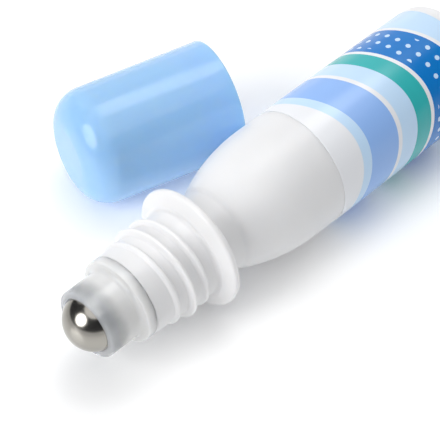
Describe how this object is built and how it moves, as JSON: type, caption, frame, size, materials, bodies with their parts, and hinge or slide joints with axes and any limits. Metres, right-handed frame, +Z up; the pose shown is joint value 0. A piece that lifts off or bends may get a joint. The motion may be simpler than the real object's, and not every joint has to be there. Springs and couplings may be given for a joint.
{
  "type": "roll-on bottle",
  "caption": "Plastic roll-on bottle on its side: steel ball in a snap-in housing on a screw neck, wrapped film label, and the smooth screw cap taken off beside it.",
  "frame": {"origin": "middle of the floor under the bottle and its cap as they lie", "axes": "+X along the bottle's axis from its base to its ball, +Z up from the floor, +Y towards the bottle's side, away from the cap"},
  "size_m": [0.0822, 0.0454, 0.0202],
  "materials": {
    "bottle_plastic": "satin white polyethylene",
    "label_film": "gloss printed film",
    "housing_plastic": "gloss natural polyethylene, translucent",
    "ball_steel": "polished stainless steel",
    "cap_plastic": "gloss light blue polypropylene"
  },
  "bodies": {
    "bottle": {"bottle": "bottle_plastic", "label": "label_film", "roller_housing": "housing_plastic"},
    "ball": {"ball": "ball_steel"},
    "cap": {"cap": "cap_plastic"}
  },
  "joints": [
    {"name": "ball_roll", "type": "hinge", "parent": "bottle", "child": "ball", "pos_m": [0.03632, 0.01259, 0.01008], "axis": [0, 1, 0], "continuous": true},
    {"name": "cap_draw", "type": "slide", "parent": "bottle", "child": "cap", "axis": [0.9598, -0.2807, 0], "range_m": [0, 0.06]}
  ]
}
